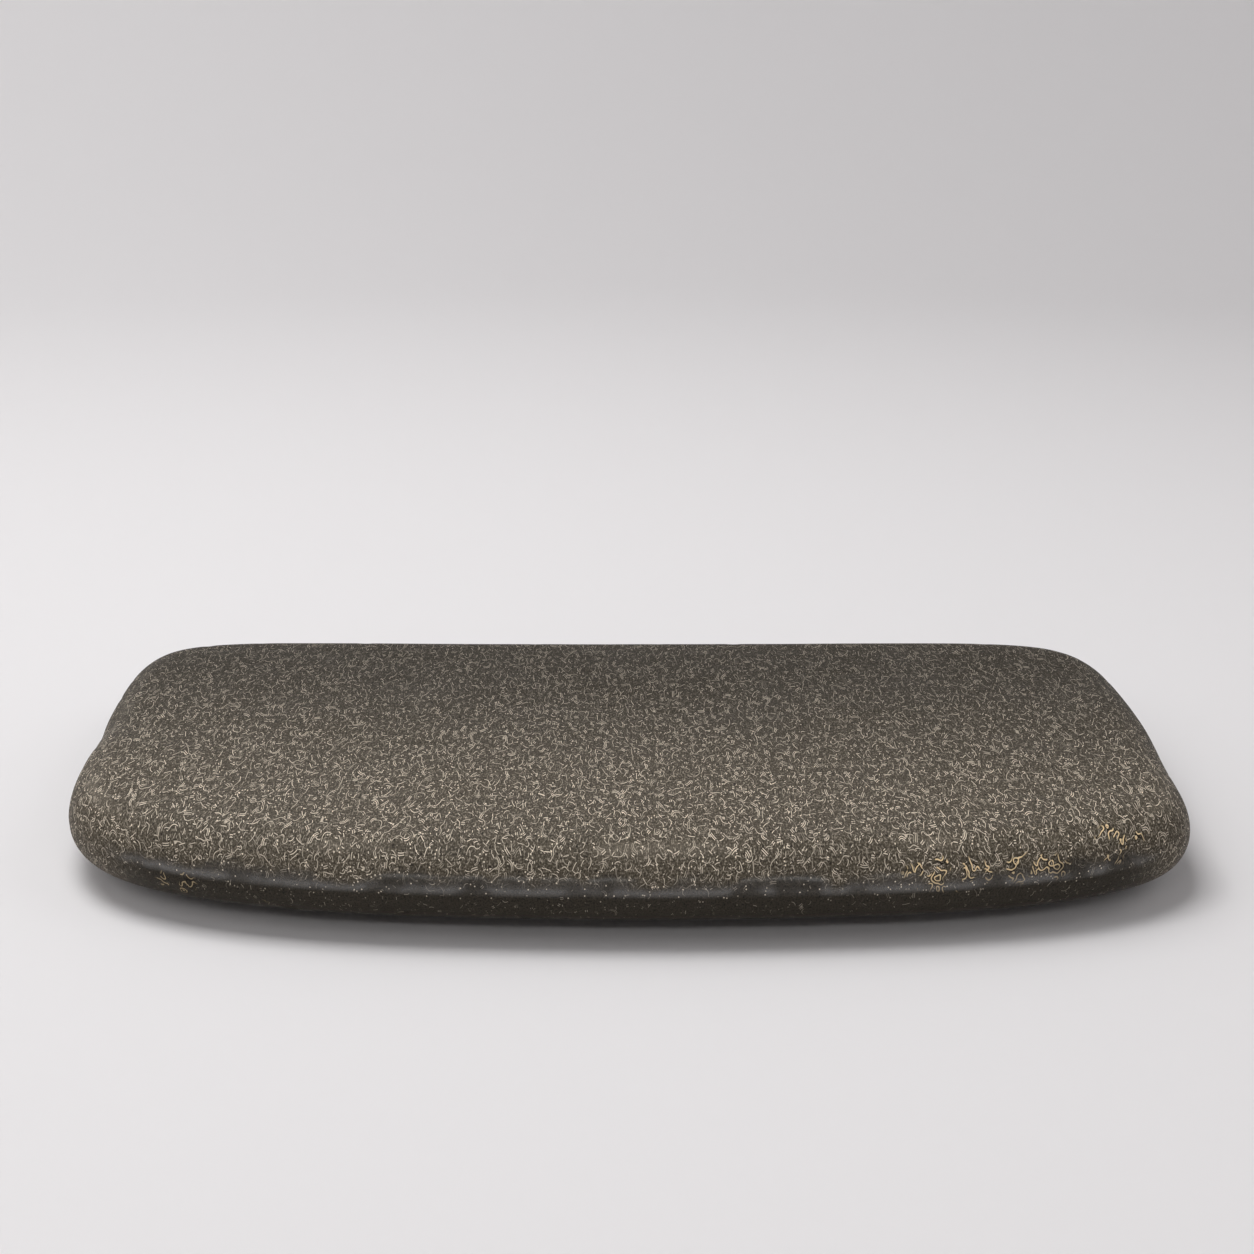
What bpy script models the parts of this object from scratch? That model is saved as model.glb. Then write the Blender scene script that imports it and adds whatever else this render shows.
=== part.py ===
"""Granite slab for leatherwork: a hand-shaped stone slab on four stick-on rubber feet.

The slab is a rounded rectangle with a bullnose edge all round. Its front edge bows out, its back
edge is nearly straight, its right end is pulled in at a shallow waist, its top is slightly dished
and its underside is flat. Each foot is a tapered rubber bumper held by its own adhesive disc.

Metres, +Z up. X runs along the slab, and the front faces -Y. The origin is on the floor, under the
centre of the slab's bounding box.
"""
import math

import bmesh
import bpy
from mathutils import Vector

# The slab's plan
SLAB_LENGTH = 0.457
SLAB_DEPTH = 0.305
FRONT_CORNER_POWER = 4.8       # exponent of the rounded rectangle: higher is squarer
BACK_CORNER_POWER = 6.7
FRONT_BOW = 0.0245             # how far the middle of the front edge stands out past its ends
BACK_SAG = 0.002               # how far the middle of the back edge is pulled in
RIGHT_WAIST = 0.007            # how far the right end is pulled in, where, and over what reach
RIGHT_WAIST_Y = -0.062
RIGHT_WAIST_REACH = 0.060
LEFT_WAIST = 0.0015
LEFT_WAIST_Y = 0.0
LEFT_WAIST_REACH = 0.020
FRONT_LEAN = 0.006             # the front edge sits this far to the right, the back edge to the left

# The slab's edge and faces
SHOULDER_WIDTH = 0.018         # the upper round of the edge
SHOULDER_HEIGHT = 0.017
CHINE_WIDTH = 0.009            # the lower round of the edge
CHINE_HEIGHT = 0.011
BACK_RIM_SAG = 0.0025          # the back rim is lower in its middle than at its ends
DISH_DEPTH = 0.0025            # the top's middle is lower than its rim

# The feet and the discs that hold them
FOOT_TOP_RADIUS = 0.0125
FOOT_FLOOR_RADIUS = 0.0105
FOOT_HEIGHT = 0.008
FOOT_FILLET = 0.0015
FOOT_FROM_END = 0.080          # from the slab's ends, front and back to the feet's axes
FOOT_FROM_FRONT = 0.082
FOOT_FROM_BACK = 0.060
DISC_RIM = 0.001               # the disc stops short of the foot's edge
DISC_THICKNESS = 0.001
BOND_GAP = 0.0003              # between pieces that are stuck together

# How finely the shapes are cut
SLAB_CELLS_ALONG = 36
SLAB_CELLS_ACROSS = 24
SLAB_EDGE_ROWS = 10            # an even number, so that one row lies on the slab's widest line
FOOT_SIDES = 32
FILLET_STEPS = 4

UNDERSIDE = FOOT_HEIGHT + DISC_THICKNESS + 2 * BOND_GAP
WIDEST_LINE = UNDERSIDE + CHINE_HEIGHT


def clear_scene():
    for thing in list(bpy.data.objects):
        bpy.data.objects.remove(thing, do_unlink=True)


def make_collection(name):
    collection = bpy.data.collections.new(name)
    bpy.context.scene.collection.children.link(collection)
    return collection


def make_material(name, colour, roughness):
    material = bpy.data.materials.new(name)
    material.use_nodes = True
    shader = material.node_tree.nodes["Principled BSDF"]
    shader.inputs["Base Color"].default_value = (*colour, 1.0)
    shader.inputs["Roughness"].default_value = roughness
    shader.inputs["Metallic"].default_value = 0.0
    material.diffuse_color = (*colour, 1.0)
    return material


def waist(y, depth, middle, reach):
    return depth * math.exp(-(((y - middle) / reach) ** 2))


def raw_outline(angle):
    """A point of the slab's outline, in one direction from its centre, before it is brought to size."""
    u, v = math.cos(angle), math.sin(angle)
    power = BACK_CORNER_POWER if v > 0 else FRONT_CORNER_POWER
    norm = (abs(u) ** power + abs(v) ** power) ** (1 / power)
    u, v = u / norm, v / norm
    bend = -BACK_SAG if v > 0 else FRONT_BOW
    y = v * (SLAB_DEPTH - FRONT_BOW + BACK_SAG) / 2 + v * bend * (1 - u * u)
    x = u * SLAB_LENGTH / 2 - v * FRONT_LEAN
    x -= max(u, 0) * waist(y, RIGHT_WAIST, RIGHT_WAIST_Y, RIGHT_WAIST_REACH)
    x += max(-u, 0) * waist(y, LEFT_WAIST, LEFT_WAIST_Y, LEFT_WAIST_REACH)
    return Vector((x, y))


def cell_directions():
    """The directions, as seen from the centre, of all the cut lines that meet the unit square's edge."""
    along = [2 * i / SLAB_CELLS_ALONG - 1 for i in range(SLAB_CELLS_ALONG + 1)]
    across = [2 * j / SLAB_CELLS_ACROSS - 1 for j in range(SLAB_CELLS_ACROSS + 1)]
    points = [(u, v) for u in along for v in (-1, 1)] + [(u, v) for u in (-1, 1) for v in across]
    return [math.atan2(v, u) for u, v in points]


def fit_to_size():
    """What brings the raw outline to its overall length and depth, centred on the origin."""
    points = [raw_outline(angle) for angle in cell_directions()]
    low = Vector((min(p.x for p in points), min(p.y for p in points)))
    high = Vector((max(p.x for p in points), max(p.y for p in points)))
    middle = (low + high) / 2
    stretch = Vector((SLAB_LENGTH / (high.x - low.x), SLAB_DEPTH / (high.y - low.y)))
    return middle, stretch


def make_outline():
    """A function that gives the outline's point and its outward normal in any direction."""
    middle, stretch = fit_to_size()

    def place(angle):
        return (raw_outline(angle) - middle) * stretch

    def outline(angle, step=0.002):
        ahead, behind = place(angle + step), place(angle - step)
        run = (ahead - behind).normalized()
        return place(angle), Vector((run.y, -run.x))

    return outline


def slab_point(outline, u, v, w):
    """Where a point of the unit box goes: u and v choose the place in plan, and w the height.

    The box's sides, from w = -1 to w = 1, wrap round the edge from the underside to the top.
    """
    level = max(abs(u), abs(v))
    turn = w * math.pi / 2
    width = SHOULDER_WIDTH if w > 0 else CHINE_WIDTH
    height = SHOULDER_HEIGHT if w > 0 else CHINE_HEIGHT
    rim, normal = outline(math.atan2(v, u))
    spot = (rim - normal * width * (1 - math.cos(turn))) * level
    z = WIDEST_LINE + height * math.sin(turn)
    if w > 0:
        back = max(2 * spot.y / SLAB_DEPTH, 0)
        middle = max(1 - (2 * spot.x / SLAB_LENGTH) ** 2, 0)
        z -= BACK_RIM_SAG * math.sin(turn) * middle * back ** 2
        z -= DISH_DEPTH * (1 - level ** 2) ** 2
    return spot.x, spot.y, z


def make_slab(collection, material):
    """A box cut into cells along, across and up, whose corners are then moved to the slab's surface."""
    bm = bmesh.new()
    bmesh.ops.create_cube(bm, size=2)
    for axis, cells in enumerate((SLAB_CELLS_ALONG, SLAB_CELLS_ACROSS, SLAB_EDGE_ROWS)):
        direction = Vector([float(axis == i) for i in range(3)])
        for cut in range(1, cells):
            everything = bm.verts[:] + bm.edges[:] + bm.faces[:]
            place = direction * (2 * cut / cells - 1)
            bmesh.ops.bisect_plane(bm, geom=everything, plane_co=place, plane_no=direction)
    underside = [face for face in bm.faces if face.normal.z < -0.5]
    bmesh.ops.dissolve_faces(bm, faces=underside, use_verts=False)
    outline = make_outline()
    for vert in bm.verts:
        vert.co = slab_point(outline, *vert.co)
    bmesh.ops.recalc_face_normals(bm, faces=bm.faces)
    mesh = bpy.data.meshes.new("granite_slab")
    bm.to_mesh(mesh)
    bm.free()
    mesh.shade_smooth()
    mesh.set_sharp_from_angle(angle=math.radians(40))
    mesh.materials.append(material)
    slab = bpy.data.objects.new("granite_slab", mesh)
    collection.objects.link(slab)


def foot_profile():
    """A foot's section from its axis over its bonding face and down its outer side to the floor."""
    points = [(0, FOOT_HEIGHT), (FOOT_TOP_RADIUS, FOOT_HEIGHT)]
    centre = Vector((FOOT_FLOOR_RADIUS - FOOT_FILLET, FOOT_FILLET))
    for step in range(FILLET_STEPS + 1):
        turn = step * math.pi / 2 / FILLET_STEPS
        points.append((centre.x + FOOT_FILLET * math.cos(turn), centre.y - FOOT_FILLET * math.sin(turn)))
    return points + [(0, 0)]


def make_foot_mesh():
    """The rubber foot, turned about its own axis."""
    bm = bmesh.new()
    verts = [bm.verts.new((radius, 0, height)) for radius, height in foot_profile()]
    for upper, lower in zip(verts, verts[1:]):
        bm.edges.new((upper, lower))
    profile = bpy.data.meshes.new("foot_profile")
    bm.to_mesh(profile)
    bm.free()
    return profile


def make_foot(name, spot, profile, collection):
    foot = bpy.data.objects.new(name, profile)
    collection.objects.link(foot)
    foot.location = (spot.x, spot.y, 0)
    turning = foot.modifiers.new("turned", "SCREW")
    turning.axis = "Z"
    turning.steps = turning.render_steps = FOOT_SIDES
    turning.use_merge_vertices = True
    turning.merge_threshold = 0.00005
    turning.use_smooth_shade = True


def make_disc_mesh():
    bm = bmesh.new()
    radius = FOOT_TOP_RADIUS - DISC_RIM
    bmesh.ops.create_cone(
        bm, cap_ends=True, segments=FOOT_SIDES, radius1=radius, radius2=radius, depth=DISC_THICKNESS
    )
    mesh = bpy.data.meshes.new("adhesive_disc")
    bm.to_mesh(mesh)
    bm.free()
    mesh.shade_smooth()
    mesh.set_sharp_from_angle(angle=math.radians(40))
    return mesh


def make_disc(name, spot, mesh, collection):
    disc = bpy.data.objects.new(name, mesh)
    collection.objects.link(disc)
    disc.location = (spot.x, spot.y, FOOT_HEIGHT + BOND_GAP + DISC_THICKNESS / 2)


def make_feet(collection, rubber, adhesive):
    """Four feet under the slab's flat underside, each with the disc that bonds it to the stone."""
    foot_x = SLAB_LENGTH / 2 - FOOT_FROM_END
    rows = {"front": FOOT_FROM_FRONT - SLAB_DEPTH / 2, "back": SLAB_DEPTH / 2 - FOOT_FROM_BACK}
    profile = make_foot_mesh()
    profile.materials.append(rubber)
    disc_mesh = make_disc_mesh()
    disc_mesh.materials.append(adhesive)
    for row, y in rows.items():
        for side, x in (("left", -foot_x), ("right", foot_x)):
            spot = Vector((x, y))
            make_foot(f"foot_{row}_{side}", spot, profile, collection)
            make_disc(f"adhesive_disc_{row}_{side}", spot, disc_mesh, collection)


def main():
    clear_scene()
    collection = make_collection("granite_slab_on_feet")
    stone = make_material("polished_granite", (0.11, 0.10, 0.085), 0.35)
    rubber = make_material("black_rubber", (0.022, 0.022, 0.024), 0.75)
    adhesive = make_material("adhesive_film", (0.62, 0.60, 0.55), 0.50)
    make_slab(collection, stone)
    make_feet(collection, rubber, adhesive)


main()
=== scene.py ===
# %% [markdown]
# # A granite slab for leatherwork
#
# A leatherworker tools and stamps damp leather on a heavy stone slab. This one is a rounded
# rectangle of dark granite, about 46 cm long. Its top is honed, its edge is rounded over and
# polished, and it stands on four stick-on rubber feet. This lesson builds it around a packed
# model, the frame, which says where each piece is. All sizes are metres.

# %% Load the frame
import math

import bpy
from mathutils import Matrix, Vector


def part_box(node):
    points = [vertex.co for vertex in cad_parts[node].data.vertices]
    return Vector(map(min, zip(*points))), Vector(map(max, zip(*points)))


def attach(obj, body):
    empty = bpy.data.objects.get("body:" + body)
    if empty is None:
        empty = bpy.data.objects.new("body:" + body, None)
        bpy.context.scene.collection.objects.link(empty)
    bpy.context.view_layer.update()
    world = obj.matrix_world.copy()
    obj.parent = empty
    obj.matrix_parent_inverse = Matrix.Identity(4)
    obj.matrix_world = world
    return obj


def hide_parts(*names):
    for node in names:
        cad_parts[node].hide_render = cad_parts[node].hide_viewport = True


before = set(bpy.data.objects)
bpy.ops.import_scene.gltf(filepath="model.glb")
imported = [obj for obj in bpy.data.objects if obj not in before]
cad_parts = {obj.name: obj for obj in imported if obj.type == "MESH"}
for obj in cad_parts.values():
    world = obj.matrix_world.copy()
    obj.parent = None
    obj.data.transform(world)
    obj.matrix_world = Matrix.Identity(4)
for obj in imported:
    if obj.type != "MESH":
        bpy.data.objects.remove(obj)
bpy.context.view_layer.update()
MM = 0.001
stone_low, stone_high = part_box("granite_slab")
print("frame's nodes:", sorted(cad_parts))
print("stone's box in mm:", [round(side / MM, 1) for side in stone_high - stone_low])

# %% [markdown]
# ## Formulas as nodes
#
# The stone's shape and its grain both follow formulas, and a formula made of Math nodes is hard to
# read in code when each node takes three lines. `Wire` holds one output socket and lets it stand in
# an ordinary sum, so `a * 2 + b` adds the two Math nodes and links them. Geometry Nodes and shader
# trees share the Math node, so one class serves both.

# %% Wires that can be added and multiplied
class Wire:
    """One output socket of a node tree, which can be used in a sum like a number."""

    def __init__(self, tree, socket):
        self.tree = tree
        self.socket = socket

    def math(self, operation, *others, clamp=False):
        node = self.tree.nodes.new("ShaderNodeMath")
        node.operation = operation
        node.use_clamp = clamp
        for slot, value in zip(node.inputs, (self, *others)):
            feed(self.tree, slot, value)
        return Wire(self.tree, node.outputs[0])

    def __add__(self, other):
        return self.math("ADD", other)

    def __sub__(self, other):
        return self.math("SUBTRACT", other)

    def __mul__(self, other):
        return self.math("MULTIPLY", other)

    def __truediv__(self, other):
        return self.math("DIVIDE", other)

    def __pow__(self, other):
        return self.math("POWER", other)

    def __abs__(self):
        return self.math("ABSOLUTE")

    def __neg__(self):
        return self.math("MULTIPLY", -1.0)

    def at_least(self, other):
        return self.math("MAXIMUM", other)

    def at_most(self, other):
        return self.math("MINIMUM", other)

    def clamped(self):
        return self.math("ADD", 0.0, clamp=True)


def feed(tree, slot, value):
    """Gives an input socket a wire or a plain value."""
    if isinstance(value, Wire):
        tree.links.new(value.socket, slot)
    else:
        slot.default_value = value


def add_node(tree, kind, settings=None, **inputs):
    """A node with its settings and its inputs, which are named as on the node, with _ for a space."""
    node = tree.nodes.new(kind)
    for name, value in (settings or {}).items():
        setattr(node, name, value)
    for name, value in inputs.items():
        feed(tree, node.inputs[name.replace("_", " ")], value)
    return node


def output(node, name=0):
    return Wire(node.id_data, node.outputs[name])


def split(vector):
    """The X, Y and Z of a vector."""
    node = add_node(vector.tree, "ShaderNodeSeparateXYZ", Vector=vector)
    return [output(node, axis) for axis in "XYZ"]


def joined(tree, x, y, z):
    return output(add_node(tree, "ShaderNodeCombineXYZ", X=x, Y=y, Z=z))


def vector_math(operation, vector, other):
    node = vector.tree.nodes.new("ShaderNodeVectorMath")
    node.operation = operation
    feed(vector.tree, node.inputs[0], vector)
    feed(vector.tree, node.inputs[1], other)
    return output(node)


def ramp(wire, start, end, low=0.0, high=1.0):
    """A smooth step: low up to start, and high from end on."""
    settings = {"interpolation_type": "SMOOTHSTEP"}
    node = add_node(wire.tree, "ShaderNodeMapRange", settings, Value=wire, From_Min=start, From_Max=end,
                    To_Min=low, To_Max=high)
    return output(node)


def choose(wire, when_positive, otherwise):
    """One of two values, by the sign of a wire."""
    positive = wire.math("GREATER_THAN", 0.0)
    return positive * when_positive + (positive * -1.0 + 1.0) * otherwise


SOCKETS = {float: "NodeSocketFloat", int: "NodeSocketInt", tuple: "NodeSocketVector"}


def start_tree(name, kind, inputs, outputs):
    """An empty node group: inputs are names and values, outputs are names and socket types."""
    tree = bpy.data.node_groups.new(name, kind)
    for label, socket_type in outputs.items():
        tree.interface.new_socket(label, in_out="OUTPUT", socket_type=socket_type)
    for label, value in inputs.items():
        socket = tree.interface.new_socket(label, in_out="INPUT", socket_type=SOCKETS[type(value)])
        socket.default_value = value
    entry = tree.nodes.new("NodeGroupInput")
    wires = {label: output(entry, label) for label in inputs}
    return tree, wires, tree.nodes.new("NodeGroupOutput")


print("wires are ready")

# %% [markdown]
# ## Camera
#
# A product shot of a low, wide thing is taken from low down with a longish lens, so that the near
# edge doesn't balloon. The camera stands 1 m in front of the slab and looks down by 15 degrees.

# %% Place the camera
LENS = 70.0
CAMERA_PLACE = Vector((0.0022, -0.981, 0.3476))
LOOK_DOWN = math.radians(15.17)

camera_data = bpy.data.cameras.new("camera")
camera_data.lens = LENS
camera_data.sensor_width = 36.0
camera = bpy.data.objects.new("camera", camera_data)
camera.location = CAMERA_PLACE
camera.rotation_euler = (math.pi / 2 - LOOK_DOWN, 0, 0)
bpy.context.scene.collection.objects.link(camera)
bpy.context.scene.camera = camera
print("camera:", LENS, "mm lens,", round(CAMERA_PLACE.length, 2), "m from the origin")

# %% [markdown]
# ## The studio
#
# A plain floor that curves up into a wall has no horizon line. A wall on one side only would hide
# the slab from the cameras that look from behind, so the floor here is a shallow bowl: flat in the
# middle, then turned up all round. It is a profile turned by a Screw modifier.

# %% Floor
FLOOR_RADIUS = 1.7
COVE_RADIUS = 1.4
WALL_HEIGHT = 4.0
COVE_STEPS = 24
BOWL_SIDES = 96


def plain_material(name, colour, roughness):
    material = bpy.data.materials.new(name)
    material.use_nodes = True
    shader = material.node_tree.nodes["Principled BSDF"]
    shader.inputs["Base Color"].default_value = (*colour, 1.0)
    shader.inputs["Roughness"].default_value = roughness
    return material


def bowl_profile():
    points = [(0.0, 0.0, 0.0)]
    for step in range(COVE_STEPS + 1):
        turn = math.pi / 2 * step / COVE_STEPS
        across = FLOOR_RADIUS + COVE_RADIUS * math.sin(turn)
        points.append((across, 0.0, COVE_RADIUS * (1 - math.cos(turn))))
    return points + [(FLOOR_RADIUS + COVE_RADIUS, 0.0, WALL_HEIGHT)]


def make_studio():
    points = bowl_profile()
    edges = [(i, i + 1) for i in range(len(points) - 1)]
    mesh = bpy.data.meshes.new("studio_floor")
    mesh.from_pydata(points, edges, [])
    floor = bpy.data.objects.new("studio_floor", mesh)
    bpy.context.scene.collection.objects.link(floor)
    turned = floor.modifiers.new("turned", "SCREW")
    turned.steps = turned.render_steps = BOWL_SIDES
    turned.use_merge_vertices = True
    turned.merge_threshold = 0.0001
    turned.use_smooth_shade = True
    mesh.materials.append(plain_material("studio_paper", (0.80, 0.785, 0.79), 0.9))
    return floor


floor = make_studio()
print("floor is flat out to", FLOOR_RADIUS, "m")

# %% [markdown]
# ## Light
#
# One large softbox hangs over the slab, a little to the left, so the shadow stays close under the
# edge and is longer on the right. Two weak fills stand left and right of the camera. A long strip
# behind the camera draws the highlight along the polished edge, because a rounded edge mirrors only
# a narrow part of the room. A wash lights the paper behind, more on its left than on its right.

# %% Lamps
SOFTBOXES = {
    "overhead_softbox": {"place": (-0.5, 0.18, 2.0), "aim": (0, 0, 0), "size": (1.2, 1.2), "watts": 24.0},
    "left_fill": {"place": (-1.4, -0.9, 1.2), "aim": (0, -0.2, 0), "size": (1.0, 1.0), "watts": 4.3},
    "right_fill": {"place": (1.5, -0.2, 1.4), "aim": (0, 0, 0), "size": (1.0, 1.0), "watts": 2.9},
    "front_strip": {"place": (0, -2.2, 1.25), "aim": (0, -0.1, 0), "size": (2.6, 0.22), "watts": 9.5},
    "backdrop_wash": {"place": (-1.4, 1.6, 2.4), "aim": (-0.8, 2.4, 0.4), "size": (1.5, 1.5), "watts": 20.2},
}
ROOM_LIGHT = 0.10


def make_softbox(name, place, aim, size, watts):
    lamp = bpy.data.lights.new(name, "AREA")
    lamp.shape = "RECTANGLE"
    lamp.size, lamp.size_y = size
    lamp.energy = watts
    thing = bpy.data.objects.new(name, lamp)
    thing.location = place
    thing.rotation_euler = (Vector(aim) - Vector(place)).to_track_quat("-Z", "Y").to_euler()
    bpy.context.scene.collection.objects.link(thing)


for name, facts in SOFTBOXES.items():
    make_softbox(name, **facts)

world = bpy.data.worlds.new("room")
world.use_nodes = True
world.node_tree.nodes["Background"].inputs["Color"].default_value = (1.0, 0.985, 1.0, 1.0)
world.node_tree.nodes["Background"].inputs["Strength"].default_value = ROOM_LIGHT
bpy.context.scene.world = world
bpy.context.scene.view_settings.view_transform = "Standard"
print("lamps:", list(SOFTBOXES))

# %% [markdown]
# ## The stone's shape
#
# A mason shapes such a slab by eye, but its form follows a rule: a rounded rectangle whose front
# edge bows out and whose right end is pulled in a little, wrapped with a rounded edge. Sculpting
# it would work once. A rule in Geometry Nodes can be changed at any time, so the stone starts as a
# box with many cells, and each of its points is moved by formula. `u`, `v` and `w` are a point's
# place in the box, from -1 to 1. The box's sides wrap round the edge, from the underside to the top.
#
# First comes the outline: a group that turns a direction from the centre into a point of the edge.

# %% The outline, as a node group
OUTLINE = {
    "Length": stone_high.x - stone_low.x,
    "Depth": stone_high.y - stone_low.y,
    "Front Corner Power": 4.8,
    "Back Corner Power": 6.7,
    "Front Bow": 24.5 * MM,
    "Back Sag": 2.0 * MM,
    "Right Waist": 7.0 * MM,
    "Right Waist Y": -62.0 * MM,
    "Right Waist Reach": 60.0 * MM,
    "Left Waist": 1.5 * MM,
    "Left Waist Y": 0.0,
    "Left Waist Reach": 20.0 * MM,
    "Front Lean": 6.0 * MM,
}


def waist(y, size, side):
    reach = (y - size[f"{side} Waist Y"]) / size[f"{side} Waist Reach"]
    return size[f"{side} Waist"] * (-(reach * reach)).math("EXPONENT")


def make_outline_group():
    tree, size, end = start_tree("slab_outline", "GeometryNodeTree", {**OUTLINE, "Angle": 0.0},
                                 {"Point": "NodeSocketVector"})
    u = size["Angle"].math("COSINE")
    v = size["Angle"].math("SINE")
    power = choose(v, size["Back Corner Power"], size["Front Corner Power"])
    norm = (abs(u) ** power + abs(v) ** power) ** (power ** -1.0)
    u = u / norm
    v = v / norm
    bend = choose(v, -size["Back Sag"], size["Front Bow"])
    half_depth = (size["Depth"] - size["Front Bow"] + size["Back Sag"]) * 0.5
    y = v * half_depth + v * bend * (-(u * u) + 1.0)
    x = u * size["Length"] * 0.5 - v * size["Front Lean"]
    x = x - u.at_least(0.0) * waist(y, size, "Right")
    x = x + (-u).at_least(0.0) * waist(y, size, "Left")
    feed(tree, end.inputs["Point"], joined(tree, x, y, 0.0))
    return tree


outline_group = make_outline_group()
print("outline group:", len(outline_group.nodes), "nodes")

# %% [markdown]
# Next comes the whole slab. The group is used three times, for the point itself and for one just
# before and one just after it, which give the direction in which the edge faces. Two quarter
# ellipses make the edge: the shoulder above the widest line and the chine below it. Last, slow
# waves and shallow dimples take away the look of a machined block.
#
# The grain has to run over the edge without a seam, so each point also keeps its place on the
# stone's skin as if it were peeled off and laid flat, in an attribute named `skin`. On the top that
# map is squeezed from front to back, by `Grain Stretch`, so the grain comes out three times as long
# in that direction. Seen from low in front it then looks evenly tangled, and from above it looks
# drawn out. Round the shoulder the squeeze eases off.

# %% The slab, as a Geometry Nodes tree
FORM = {
    "Shoulder Width": 18.0 * MM,
    "Shoulder Height": 17.0 * MM,
    "Chine Width": 9.0 * MM,
    "Chine Height": 11.0 * MM,
    "Back Rim Sag": 2.5 * MM,
    "Dish Depth": 2.5 * MM,
    "Underside": stone_low.z,
    "Wave Height": 0.45 * MM,
    "Dimple Depth": 0.22 * MM,
    "Chip Depth": 0.5 * MM,
    "Grain Stretch": 3.0,
    "Cells Along": 224,
    "Cells Across": 150,
    "Edge Rows": 32,
}
ANGLE_STEP = 0.002


def outline_at(tree, size, angle):
    node = add_node(tree, "GeometryNodeGroup", {"node_tree": outline_group})
    for name in OUTLINE:
        feed(tree, node.inputs[name], size[name])
    feed(tree, node.inputs["Angle"], angle)
    return output(node, "Point")


def edge_profile(size, w, turn):
    """A row of the edge: its inset from the widest line, its rise, and its runs of skin: ends, then front."""
    width = choose(w, size["Shoulder Width"], size["Chine Width"])
    height = choose(w, size["Shoulder Height"], size["Chine Height"])
    inset = width * (-turn.math("COSINE") + 1.0)
    rise = height * turn.math("SINE")
    shoulder_run = (size["Shoulder Width"] + size["Shoulder Height"]) * 0.5
    chine_run = (size["Chine Width"] + size["Chine Height"]) * 0.5
    upper = -turn.at_least(0.0) + math.pi / 2
    lower = chine_run * (-turn).at_least(0.0)
    squeezed = size["Grain Stretch"] ** -1.0
    eased = squeezed + (-squeezed + 1.0) * upper / math.pi
    return inset, rise, shoulder_run * upper + lower, shoulder_run * upper * eased + lower


def stored(geometry, name, data_type, value, domain="POINT"):
    settings = {"data_type": data_type, "domain": domain}
    node = add_node(geometry.tree, "GeometryNodeStoreNamedAttribute", settings, Geometry=geometry, Name=name)
    feed(geometry.tree, node.inputs["Value"], value)
    return output(node, "Geometry")


def moved(geometry, position=None, offset=None):
    node = add_node(geometry.tree, "GeometryNodeSetPosition", Geometry=geometry)
    if position is not None:
        feed(geometry.tree, node.inputs["Position"], position)
    if offset is not None:
        feed(geometry.tree, node.inputs["Offset"], offset)
    return output(node, "Geometry")


def on_faces(wire):
    """The mean of a value over the points of each face."""
    settings = {"domain": "FACE", "data_type": "FLOAT"}
    return output(add_node(wire.tree, "GeometryNodeFieldOnDomain", settings, Value=wire))


def own_attribute(tree, name, data_type):
    node = add_node(tree, "GeometryNodeInputNamedAttribute", {"data_type": data_type}, Name=name)
    return output(node, "Attribute")


def wrap_box(tree, size, box):
    """Moves the points of the box onto the slab, and keeps each point's place on the laid-out skin."""
    u, v, w = split(output(tree.nodes.new("GeometryNodeInputPosition")))
    level = abs(u).at_least(abs(v))
    angle = v.math("ARCTAN2", u)
    turn = w * (math.pi / 2)
    rim = outline_at(tree, size, angle)
    run = vector_math("SUBTRACT", outline_at(tree, size, angle + ANGLE_STEP),
                      outline_at(tree, size, angle - ANGLE_STEP))
    along_x, along_y, _ = split(output(add_node(tree, "ShaderNodeVectorMath", {"operation": "NORMALIZE"},
                                                Vector=run)))
    rim_x, rim_y, _ = split(rim)
    inset, rise, across, down = edge_profile(size, w, turn)
    x = (rim_x - along_y * inset) * level
    y = (rim_y + along_x * inset) * level
    back = (y * 2.0 / size["Depth"]).at_least(0.0)
    middle = (-((x * 2.0 / size["Length"]) ** 2.0) + 1.0).at_least(0.0)
    upper = turn.math("SINE").at_least(0.0)
    dish = (-(level * level) + 1.0) ** 2.0 * w.math("GREATER_THAN", 0.999)
    z = rise + size["Underside"] + size["Chine Height"]
    z = z - size["Back Rim Sag"] * upper * middle * back * back - size["Dish Depth"] * dish
    skin_x = (rim_x + along_y * (across - size["Shoulder Width"])) * level
    top_y = (rim_y + along_x * size["Shoulder Width"]) / size["Grain Stretch"]
    skin_y = (top_y - along_x * down) * level
    box = stored(box, "skin", "FLOAT_VECTOR", joined(tree, skin_x, skin_y, 0.0))
    box = stored(box, "edge_turn", "FLOAT", w)
    box = stored(box, "end_on", "FLOAT", along_y * along_y)
    flat_y = (rim_y - along_x * (across - size["Shoulder Width"])) * level
    below = on_faces(w.math("LESS_THAN", -0.999)).math("GREATER_THAN", 0.99)
    chart = -below + 1.0
    map_x = skin_x * (chart * 1.9 + below * 0.8) + 0.5
    map_y = (flat_y * 1.98 + 0.64) * chart + (y * 0.8 + 0.135) * below
    box = stored(box, "OFBake", "FLOAT2", joined(tree, map_x, map_y, 0.0), domain="CORNER")
    return moved(box, position=joined(tree, x, y, z))


def fitted(tree, size, slab):
    """Brings the slab to its overall length and depth, about its middle."""
    bounds = add_node(tree, "GeometryNodeBoundBox", Geometry=slab)
    low_x, low_y, _ = split(output(bounds, "Min"))
    high_x, high_y, _ = split(output(bounds, "Max"))
    x, y, z = split(output(tree.nodes.new("GeometryNodeInputPosition")))
    x = (x - (low_x + high_x) * 0.5) * size["Length"] / (high_x - low_x)
    y = (y - (low_y + high_y) * 0.5) * size["Depth"] / (high_y - low_y)
    return moved(slab, position=joined(tree, x, y, z))


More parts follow.
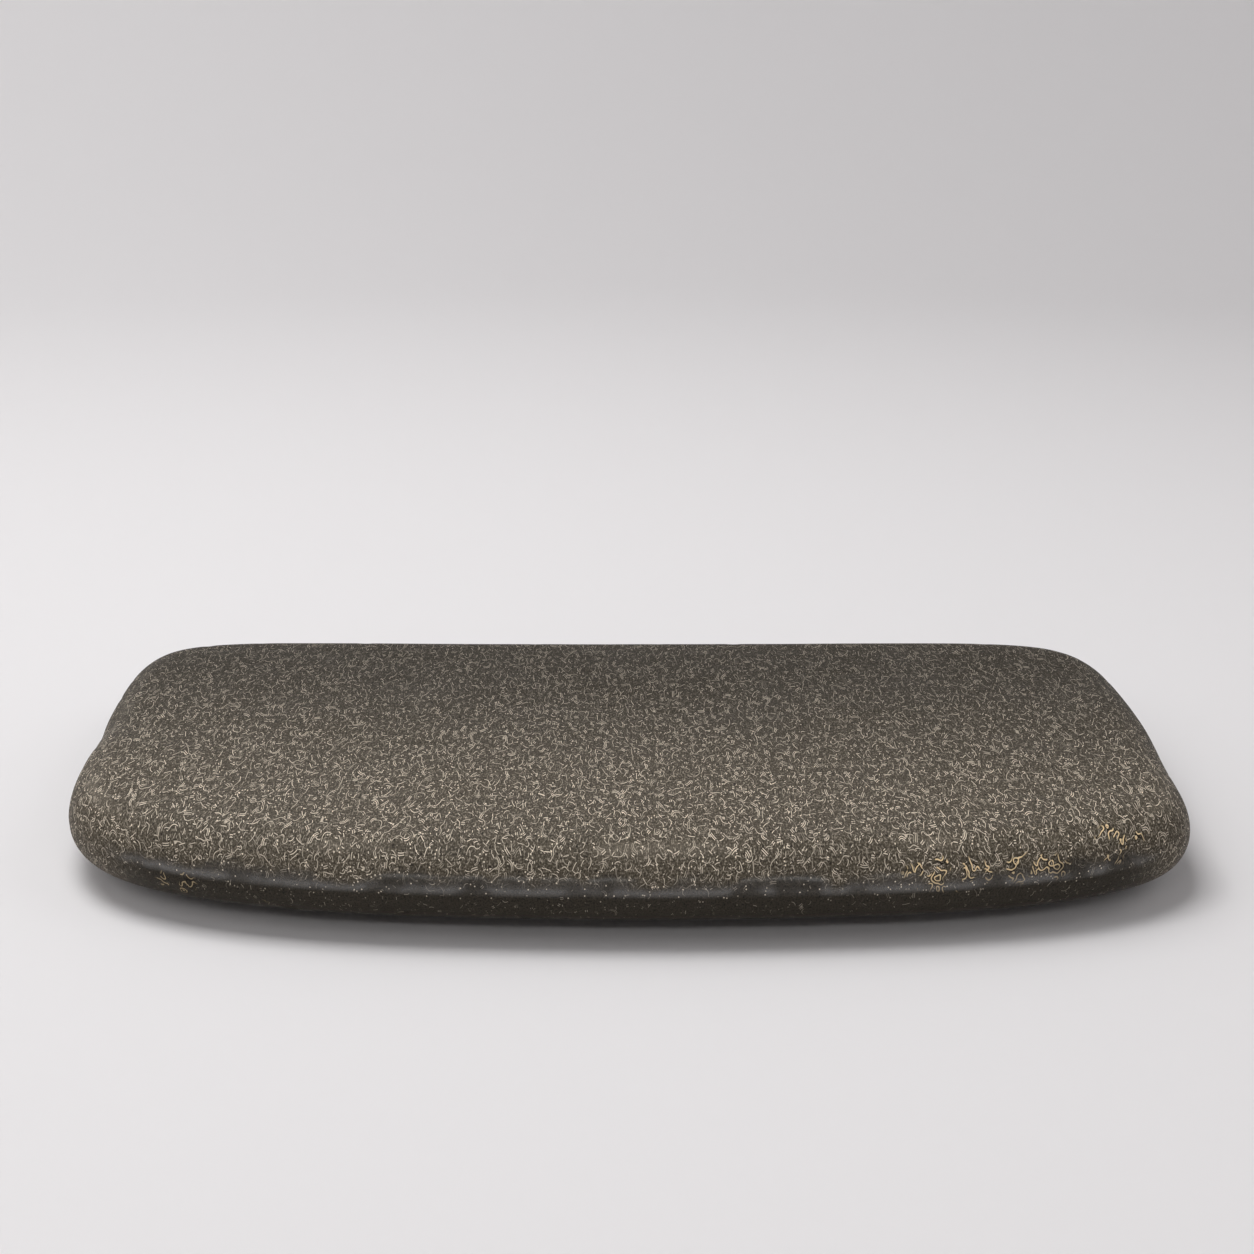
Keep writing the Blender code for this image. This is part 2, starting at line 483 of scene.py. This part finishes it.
def noise(tree, place, scale, detail=0.0, roughness=0.5, distortion=0.0, dimensions="3D"):
    settings = {"noise_dimensions": dimensions}
    node = add_node(tree, "ShaderNodeTexNoise", settings, Vector=place, Scale=scale, Detail=detail,
                    Roughness=roughness, Distortion=distortion)
    return output(node, 0)


def weathered(tree, size, slab):
    """Slow waves all over, and shallow dimples, on everything but the sawn underside."""
    place = output(tree.nodes.new("GeometryNodeInputPosition"))
    wave = noise(tree, place, 11.0, detail=1.0) - 0.5
    dimple = ramp(noise(tree, place, 85.0), 0.58, 0.78)
    above = ramp(own_attribute(tree, "edge_turn", "FLOAT"), -1.0, -0.6)
    chine = ramp(abs(own_attribute(tree, "edge_turn", "FLOAT") + 0.62), 0.30, 0.10)
    chip = ramp(noise(tree, place, 70.0, detail=1.0), 0.66, 0.72) * chine
    height = (wave * size["Wave Height"] * 2.0 - dimple * size["Dimple Depth"]) * above
    height = height - chip * size["Chip Depth"]
    normal = output(tree.nodes.new("GeometryNodeInputNormal"))
    scaled = add_node(tree, "ShaderNodeVectorMath", {"operation": "SCALE"}, Vector=normal, Scale=height)
    return moved(slab, offset=output(scaled))


def finished(tree, geometry, material):
    smooth = add_node(tree, "GeometryNodeSetShadeSmooth", Geometry=geometry)
    real = add_node(tree, "GeometryNodeRealizeInstances", Geometry=output(smooth))
    painted_on = add_node(tree, "GeometryNodeSetMaterial", Geometry=output(real))
    painted_on.inputs["Material"].default_value = material
    return output(painted_on)


def make_slab_tree(material):
    tree, size, end = start_tree("granite_slab_form", "GeometryNodeTree", {**OUTLINE, **FORM},
                                 {"Geometry": "NodeSocketGeometry"})
    box = add_node(tree, "GeometryNodeMeshCube", Size=(2, 2, 2), Vertices_X=size["Cells Along"],
                   Vertices_Y=size["Cells Across"], Vertices_Z=size["Edge Rows"])
    slab = wrap_box(tree, size, output(box, "Mesh"))
    slab = fitted(tree, size, slab)
    slab = weathered(tree, size, slab)
    feed(tree, end.inputs["Geometry"], finished(tree, slab, material))
    return tree


def grown(name, tree, sizes):
    """The plain mesh object that a Geometry Nodes tree makes with these sizes."""
    seed = bpy.data.objects.new(name + "_seed", bpy.data.meshes.new(name + "_seed"))
    bpy.context.scene.collection.objects.link(seed)
    growing = seed.modifiers.new("growing", "NODES")
    growing.node_group = tree
    for item in tree.interface.items_tree:
        if item.in_out == "INPUT" and item.name in sizes:
            growing[item.identifier] = sizes[item.name]
    evaluated = seed.evaluated_get(bpy.context.evaluated_depsgraph_get())
    mesh = bpy.data.meshes.new_from_object(evaluated)
    mesh.name = name
    bpy.data.objects.remove(seed)
    piece = bpy.data.objects.new(name, mesh)
    bpy.context.scene.collection.objects.link(piece)
    return piece


# %% [markdown]
# ## The grain
#
# This granite is dark, and it is packed with pale needles of feldspar, each a few millimetres
# long, straight or hooked, many of them in pairs with a dark line between. No noise texture draws
# separate needles, so each is drawn in a cell of its own: a Voronoi texture gives every cell a
# middle and a random colour, and those turn, bend and size one short stroke. Several sizes of cell
# laid over each other hide the cells. A last layer of the shortest strokes makes bright dots. It is
# a node group, because each layer uses it again.

# %% Needles, as a shader group
NEEDLE = {
    "Place": (0.0, 0.0, 0.0),
    "Cell": 4.0 * MM,
    "Half Length": 1.6 * MM,
    "Half Width": 0.3 * MM,
    "Curl": 120.0,
    "Shift": 0.0,
}


def make_needle_group():
    tree, size, end = start_tree("feldspar_needles", "ShaderNodeTree", NEEDLE,
                                 {"Needle": "NodeSocketFloat", "Outline": "NodeSocketFloat",
                                  "Chance": "NodeSocketFloat"})
    shift = joined(tree, size["Shift"], size["Shift"] * 1.7, 0.0)
    place = vector_math("ADD", size["Place"], shift)
    cells = add_node(tree, "ShaderNodeTexVoronoi", {"voronoi_dimensions": "2D", "feature": "F1"},
                     Vector=place, Scale=size["Cell"] ** -1.0, Randomness=0.85)
    from_middle = vector_math("SUBTRACT", place, output(cells, "Position"))
    x, y, _ = split(from_middle)
    red, green, blue = split(output(cells, "Color"))
    turn = red * (2 * math.pi)
    cosine = turn.math("COSINE")
    sine = turn.math("SINE")
    along = x * cosine + y * sine
    aside = y * cosine - x * sine + along * along * size["Curl"] * (green - 0.5) * 2.0
    paired = ramp(blue, 0.72, 0.73)
    aside = abs(abs(aside) - paired * size["Half Width"] * 2.3)
    half_length = size["Half Length"] * (green * 0.9 + 0.25)
    past_end = (abs(along) - half_length).at_least(0.0)
    away = (past_end * past_end + aside * aside) ** 0.5
    feed(tree, end.inputs["Needle"], ramp(away / size["Half Width"], 1.35, 0.55))
    feed(tree, end.inputs["Outline"], ramp(away / size["Half Width"], 3.2, 1.6))
    feed(tree, end.inputs["Chance"], (blue * 7.0 + red * 5.0).math("FRACT"))
    return tree


needle_group = make_needle_group()
print("needle group:", len(needle_group.nodes), "nodes")

# %% [markdown]
# Between the needles the stone is covered with finer, fainter lines that wander side by side, as
# on a fingerprint. They are contour lines of a smooth noise. Contours crowd together where the
# noise is steep, so the distance to the nearest one is divided by the slope, which is measured
# from two more samples a little to the side. That keeps every line equally thin.

# %% Veins, as a shader group
VEIN = {
    "Place": (0.0, 0.0, 0.0),
    "Scale": 190.0,
    "Lines": 5.0,
    "Half Width": 0.32 * MM,
    "Gap Scale": 230.0,
    "Shift": 0.0,
}
SLOPE_STEP = 0.3 * MM


def make_vein_group():
    tree, size, end = start_tree("wandering_veins", "ShaderNodeTree", VEIN,
                                 {"Vein": "NodeSocketFloat", "Outline": "NodeSocketFloat"})
    place = vector_math("ADD", size["Place"], joined(tree, size["Shift"], size["Shift"], 0.0))
    here, right, up = (
        noise(tree, vector_math("ADD", place, step), size["Scale"], detail=1.0, dimensions="2D")
        for step in ((0.0, 0.0, 0.0), (SLOPE_STEP, 0.0, 0.0), (0.0, SLOPE_STEP, 0.0))
    )
    slope_x = (right - here) / SLOPE_STEP
    slope_y = (up - here) / SLOPE_STEP
    slope = (slope_x * slope_x + slope_y * slope_y) ** 0.5
    between = abs((here * size["Lines"]).math("FRACT") - 0.5)
    away = between / (slope * size["Lines"]).at_least(60.0) / size["Half Width"]
    breaks = noise(tree, vector_math("ADD", place, (0.7, 0.3, 0.0)), size["Gap Scale"], dimensions="2D")
    whole = ramp(breaks, 0.47, 0.53)
    feed(tree, end.inputs["Vein"], ramp(away, 1.35, 0.5) * whole)
    feed(tree, end.inputs["Outline"], ramp(away, 3.2, 1.5) * whole)
    return tree


vein_group = make_vein_group()
print("vein group:", len(vein_group.nodes), "nodes")

# %% [markdown]
# ## The stone's finish
#
# The top is honed, so it is matt and shows its needles pale. The rounded edge is polished at the front
# and back, so the same stone looks almost black there and only the brightest needles show, and its
# ends are honed all the way down. Part of that black is painted shade: the colour of the polished
# edge is painted darker where it turns down away from the light above. The underside is left as the
# saw cut it, with fine straight ridges. One material holds all of this, mixed by how far round the
# edge a point is.
# Rust stains the grain near the front corners, small pits are left where grains broke out, and the
# shoulder is rubbed paler in places. The pits are painted dark, as painted shade inside them. The
# colour is also painted lighter at the front of the top and darker towards the back and over the
# shoulder: painted light and shade, as the light falls on it.

# %% Granite
NEEDLE_LAYERS = (
    {"Cell": 2.9 * MM, "Half Length": 0.4 * MM, "Half Width": 0.15 * MM, "Curl": 500.0, "Shift": 0.10},
    {"Cell": 3.3 * MM, "Half Length": 1.0 * MM, "Half Width": 0.14 * MM, "Curl": 600.0, "Shift": 0.37},
    {"Cell": 4.2 * MM, "Half Length": 1.7 * MM, "Half Width": 0.135 * MM, "Curl": 420.0, "Shift": 0.23},
)
DOT_LAYER = {"Cell": 2.2 * MM, "Half Length": 0.03 * MM, "Half Width": 0.24 * MM, "Curl": 0.0, "Shift": 0.61}
VEIN_LAYER = {"Scale": 165.0, "Lines": 3.0, "Half Width": 0.15 * MM, "Gap Scale": 420.0, "Shift": 0.0}
RUSTY_LAYER = {"Scale": 210.0, "Lines": 5.0, "Half Width": 0.24 * MM, "Gap Scale": 170.0, "Shift": 0.4}
STONE_DARK = (0.012, 0.0095, 0.007, 1)
STONE_BASE = (0.080, 0.067, 0.048, 1)
STONE_WARM = (0.104, 0.087, 0.064, 1)
SAWN = (0.17, 0.16, 0.145, 1)
FELDSPAR = (0.95, 0.83, 0.66, 1)
RUST = (0.90, 0.70, 0.42, 1)
RUSTY_SPOTS = (
    {"centre": (0.124, -0.149, 0.028), "reach": (0.028, 0.014, 0.010)},
    {"centre": (0.158, -0.143, 0.028), "reach": (0.024, 0.014, 0.010)},
    {"centre": (0.187, -0.122, 0.031), "reach": (0.014, 0.020, 0.009)},
    {"centre": (-0.168, -0.133, 0.018), "reach": (0.013, 0.014, 0.008)},
    {"centre": (-0.131, -0.148, 0.014), "reach": (0.008, 0.012, 0.006)},
)


def mix_colour(tree, factor, first, second, blend="MIX"):
    node = tree.nodes.new("ShaderNodeMix")
    node.data_type = "RGBA"
    node.blend_type = blend
    feed(tree, node.inputs[0], factor)
    feed(tree, node.inputs[6], first)
    feed(tree, node.inputs[7], second)
    return output(node, 2)


def use_group(tree, group, **values):
    node = tree.nodes.new("ShaderNodeGroup")
    node.node_tree = group
    for name, value in values.items():
        feed(tree, node.inputs[name.replace("_", " ")], value)
    return node


def grey(tree, value):
    return joined(tree, value, value, value)


def spots(place, places):
    """1 at the middle of each spot, falling to 0 at its reach."""
    found = Wire(place.tree, place.tree.nodes.new("ShaderNodeValue").outputs[0])
    found.socket.default_value = 0.0
    for spot in places:
        away = vector_math("SUBTRACT", place, spot["centre"])
        away = vector_math("DIVIDE", away, spot["reach"])
        x, y, z = split(away)
        found = found.at_least(ramp((x * x + y * y + z * z) ** 0.5, 1.0, 0.45))
    return found


def underscored(values):
    return {name.replace(" ", "_"): value for name, value in values.items()}


def saw_marks(tree, solid):
    """Fine straight ridges along the stone's length, as a saw's blade leaves them."""
    along, depth, _ = split(solid)
    stretched = joined(tree, along * 5.0, depth * 420.0, 0.0)
    return noise(tree, stretched, 1.0, detail=2.0, dimensions="2D")


def pits(tree, place):
    """1 in the small holes where a grain broke out, which one cell in five has."""
    cells = add_node(tree, "ShaderNodeTexVoronoi", {"voronoi_dimensions": "2D"}, Vector=place, Scale=280.0)
    chance, _, _ = split(output(cells, "Color"))
    return ramp(output(cells, "Distance"), 0.13, 0.07) * ramp(chance, 0.79, 0.80)


def make_granite():
    material = bpy.data.materials.new("honed_and_polished_granite")
    material.use_nodes = True
    tree = material.node_tree
    shader = tree.nodes["Principled BSDF"]
    place = output(add_node(tree, "ShaderNodeAttribute", {"attribute_name": "skin"}), "Vector")
    edge = output(add_node(tree, "ShaderNodeAttribute", {"attribute_name": "edge_turn"}), "Fac")
    solid = output(tree.nodes.new("ShaderNodeTexCoord"), "Object")
    end_on = output(add_node(tree, "ShaderNodeAttribute", {"attribute_name": "end_on"}), "Fac")
    away_from_ends = ramp(end_on, 0.60, 0.20)
    patches = noise(tree, solid, 22.0, detail=3.0, roughness=0.6)
    streaks = noise(tree, solid, 60.0, detail=2.0)
    sawn = ramp(edge, -0.93, -1.0)
    polish = ramp(edge + (streaks - 0.5) * 0.65, 0.38, 0.10) * away_from_ends * (-sawn + 1.0)
    matt = -(polish * 0.9) + 1.0
    rusty = spots(solid, RUSTY_SPOTS)
    along, depth, _ = split(solid)
    # Painted light and shade: the top is painted lighter at the front, darker towards the back, and a little
    # darker over the shoulder.
    painted_on = ramp(depth + along * 0.06, 0.12, -0.12) * ramp(edge, 0.3, 1.0, 0.85, 1.0)
    ridges = saw_marks(tree, solid)
    shaded_pits = pits(tree, place)
    rubbed = ramp(abs(edge - 0.72), 0.22, 0.05) * ramp(patches, 0.50, 0.66)
    speckle = noise(tree, place, 1500.0, detail=1.0, dimensions="2D")
    colour = mix_colour(tree, patches, STONE_BASE, STONE_WARM)
    colour = mix_colour(tree, ramp(speckle, 0.52, 0.30) * 0.6, colour, STONE_DARK)
    colour = mix_colour(tree, ramp(speckle, 0.55, 0.75) * 0.2 * matt, colour, FELDSPAR)
    height = patches * 0.0
    layers = [(VEIN_LAYER, vein_group, "Vein")] + [(layer, needle_group, "Needle") for layer in NEEDLE_LAYERS]
    for layer, group, pale in layers:
        node = use_group(tree, group, Place=place, **underscored(layer))
        if group is needle_group:
            chance = output(node, "Chance")
            fading = polish * ramp(chance, 0.99, 0.80) * ramp(edge, 0.45, -0.10, 0.65, 1.0)
            strength = ramp(chance, 0.1, 1.0, 0.2, 1.0) * (-fading + 1.0) * ramp(edge, 0.1, 1.0, 0.7, 1.0)
        else:
            strength = matt * 0.6
        colour = mix_colour(tree, output(node, "Outline") * 0.8 * strength, colour, STONE_DARK)
        colour = mix_colour(tree, output(node, pale) * strength, colour, FELDSPAR)
        height = height.at_least(output(node, pale) * strength)
    node = use_group(tree, needle_group, Place=place, **underscored(DOT_LAYER))
    dots_and_glints = output(node, "Needle") * ramp(output(node, "Chance"), 0.70, 0.95)
    # Painted glints: the dots are dimmed on the lower edge and stay bright in and above the band where the
    # strip's highlight falls.
    dots_and_glints = dots_and_glints * ramp(edge, -0.2, 0.12, 0.3, 1.0)
    colour = mix_colour(tree, dots_and_glints, colour, FELDSPAR)
    node = use_group(tree, vein_group, Place=place, **underscored(RUSTY_LAYER))
    rusty_lines = ramp(rusty, 0.15, 0.55)
    colour = mix_colour(tree, output(node, "Outline") * rusty_lines, colour, STONE_DARK)
    colour = mix_colour(tree, output(node, "Vein") * rusty_lines, colour, RUST)
    # Painted shade: the pits are darkened, for the shade inside them.
    colour = mix_colour(tree, shaded_pits * 0.8, colour, STONE_DARK)
    colour = mix_colour(tree, rubbed * 0.05, colour, FELDSPAR)
    colour = mix_colour(tree, sawn * ramp(ridges, 0.30, 0.70, 0.45, 0.75), colour, SAWN)
    # Painted shade: the colour is multiplied down towards the back of the top and over the polished edge,
    # where it turns away from the light above. The dots there are spared.
    shade = (painted_on * 0.56 + 0.42) * (-(polish * 0.60 * (-(dots_and_glints * 0.9) + 1.0)) + 1.0)
    colour = mix_colour(tree, 1.0, colour, grey(tree, shade), "MULTIPLY")
    feed(tree, shader.inputs["Base Color"], colour)
    roughness = (patches - 0.5) * 0.30 - polish * 0.25 - rubbed * 0.08 + sawn * 0.18 + 0.62
    feed(tree, shader.inputs["Roughness"], roughness)
    shader.inputs["Specular IOR Level"].default_value = 0.10
    gloss = polish * polish * ramp(edge, -0.02, 0.12) * ramp(streaks, 0.36, 0.60, 0.2, 1.0)
    feed(tree, shader.inputs["Coat Weight"], gloss)
    shader.inputs["Coat Roughness"].default_value = 0.21
    shader.inputs["Coat IOR"].default_value = 2.1
    height = height - shaded_pits * 1.5 + sawn * ridges * 1.5
    bump = add_node(tree, "ShaderNodeBump", Strength=0.35, Distance=0.0003, Height=height)
    feed(tree, shader.inputs["Normal"], output(bump))
    return material


granite = make_granite()
slab_tree = make_slab_tree(granite)
stone = grown("granite_slab_stone", slab_tree, {**OUTLINE, **FORM})
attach(stone, "root")
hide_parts("granite_slab")
print("stone:", len(stone.data.vertices), "points", len(stone.data.polygons), "faces")

# %% [markdown]
# ## Rubber feet and their adhesive discs
#
# Stick-on feet are moulded in two halves, so a faint parting line runs round each one, and the
# face that meets the floor has a shallow dimple, which helps it to grip. All of that is one
# profile turned round an axis. A disc of foam tape holds each foot to the stone. It is squeezed,
# so its rim is a little uneven.

# %% Feet
SIDES = 64
FOOT_NAMES = [f"{row}_{side}" for row in ("front", "back") for side in ("left", "right")]


def foot_profile(radius, floor_radius, height):
    """Distance from the axis and height, from the bonded face down the side to the floor and its dimple."""
    points = [(0.0, height), (radius - 0.4 * MM, height), (radius - 0.1 * MM, height - 0.1 * MM)]
    seam = height * 0.5
    for rise in (height - 0.5 * MM, height * 0.8, seam + 0.15 * MM):
        points.append((floor_radius + (radius - floor_radius) * rise / height, rise))
    seam_radius = (radius + floor_radius) / 2
    points += [(seam_radius + 0.12 * MM, seam), (seam_radius - 0.02 * MM, seam - 0.15 * MM)]
    fillet = 1.5 * MM
    for step in range(7):
        turn = math.pi / 2 * step / 6
        across = floor_radius - fillet * (1 - math.cos(turn))
        points.append((across, fillet * (1 - math.sin(turn))))
    return points + [(5.2 * MM, 0.0), (4.8 * MM, 0.15 * MM), (4.0 * MM, 0.7 * MM), (0.0, 0.9 * MM)]


def turned(name, profile, centre, uneven=0.0, phase=0.0):
    """A profile turned round an upright axis. The last and the first point are on the axis."""
    rings = profile[1:-1]
    points = []
    for radius, height in rings:
        for side in range(SIDES):
            turn = 2 * math.pi * side / SIDES
            wobble = 1 + uneven * (math.sin(3 * turn + phase) + 0.6 * math.sin(7 * turn + 2 * phase))
            points.append((radius * wobble * math.cos(turn), radius * wobble * math.sin(turn), height))
    top = len(points)
    points += [(0.0, 0.0, profile[0][1]), (0.0, 0.0, profile[-1][1])]
    faces = []
    for side in range(SIDES):
        after = (side + 1) % SIDES
        for ring in range(len(rings) - 1):
            upper, lower = ring * SIDES, (ring + 1) * SIDES
            faces.append((upper + after, upper + side, lower + side, lower + after))
        last = (len(rings) - 1) * SIDES
        faces.append((top, side, after))
        faces.append((top + 1, last + after, last + side))
    mesh = bpy.data.meshes.new(name)
    mesh.from_pydata([(x + centre.x, y + centre.y, z) for x, y, z in points], [], faces)
    mesh.shade_smooth()
    mesh.set_sharp_from_angle(angle=math.radians(50))
    piece = bpy.data.objects.new(name, mesh)
    bpy.context.scene.collection.objects.link(piece)
    return piece


def make_rubber():
    material = plain_material("moulded_rubber", (0.022, 0.022, 0.024), 0.8)
    tree = material.node_tree
    shader = tree.nodes["Principled BSDF"]
    solid = output(tree.nodes.new("ShaderNodeTexCoord"), "Object")
    _, _, height = split(solid)
    blotches = noise(tree, solid, 260.0, detail=2.0)
    grain = noise(tree, solid, 2600.0, detail=1.0)
    dust = ramp(blotches, 0.42, 0.68) * ramp(height, 0.004, 0.0) * 0.6
    colour = mix_colour(tree, grain, (0.017, 0.017, 0.018, 1), (0.030, 0.030, 0.032, 1))
    colour = mix_colour(tree, dust, colour, (0.12, 0.115, 0.105, 1))
    feed(tree, shader.inputs["Base Color"], colour)
    feed(tree, shader.inputs["Roughness"], blotches * 0.3 + 0.62)
    bump = add_node(tree, "ShaderNodeBump", Strength=0.3, Distance=0.0002, Height=grain + blotches)
    feed(tree, shader.inputs["Normal"], output(bump))
    return material


def make_foam():
    material = plain_material("foam_tape", (0.62, 0.60, 0.55), 0.6)
    tree = material.node_tree
    shader = tree.nodes["Principled BSDF"]
    solid = output(tree.nodes.new("ShaderNodeTexCoord"), "Object")
    bubbles = add_node(tree, "ShaderNodeTexVoronoi", {"feature": "F1"}, Vector=solid, Scale=2200.0)
    shaded_pores = ramp(output(bubbles, "Distance"), 0.35, 0.10)
    stain = ramp(noise(tree, solid, 300.0, detail=2.0), 0.45, 0.72)
    colour = mix_colour(tree, stain, (0.62, 0.60, 0.55, 1), (0.36, 0.33, 0.28, 1))
    # Painted shade: the pores of the foam are darkened, for the shade inside them.
    colour = mix_colour(tree, shaded_pores * 0.5, colour, (0.22, 0.20, 0.17, 1))
    feed(tree, shader.inputs["Base Color"], colour)
    feed(tree, shader.inputs["Roughness"], stain * 0.2 + 0.55)
    bump = add_node(tree, "ShaderNodeBump", Strength=0.4, Distance=0.0001, Height=-shaded_pores)
    feed(tree, shader.inputs["Normal"], output(bump))
    return material


rubber = make_rubber()
foam = make_foam()
FLOOR_TAPER = 2.0 * MM
DISC_BULGE = 0.1 * MM
for number, name in enumerate(FOOT_NAMES):
    low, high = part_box(f"foot_{name}")
    centre = (low + high) / 2
    foot_top = high.z
    radius = (high.x - low.x) / 2
    foot = turned(f"rubber_foot_{name}", foot_profile(radius, radius - FLOOR_TAPER, foot_top), centre)
    foot.data.materials.append(rubber)
    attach(foot, "root")
    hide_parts(f"foot_{name}")
    low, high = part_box(f"adhesive_disc_{name}")
    radius = (high.x - low.x) / 2
    inner = radius - DISC_BULGE
    middle = (low.z + high.z) / 2
    section = ((0.0, stone_low.z), (inner, stone_low.z), (radius + DISC_BULGE, middle), (inner, foot_top),
               (0.0, foot_top))
    disc = turned(f"foam_disc_{name}", section, centre, uneven=0.012, phase=number * 1.3)
    disc.data.materials.append(foam)
    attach(disc, "root")
    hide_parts(f"adhesive_disc_{name}")
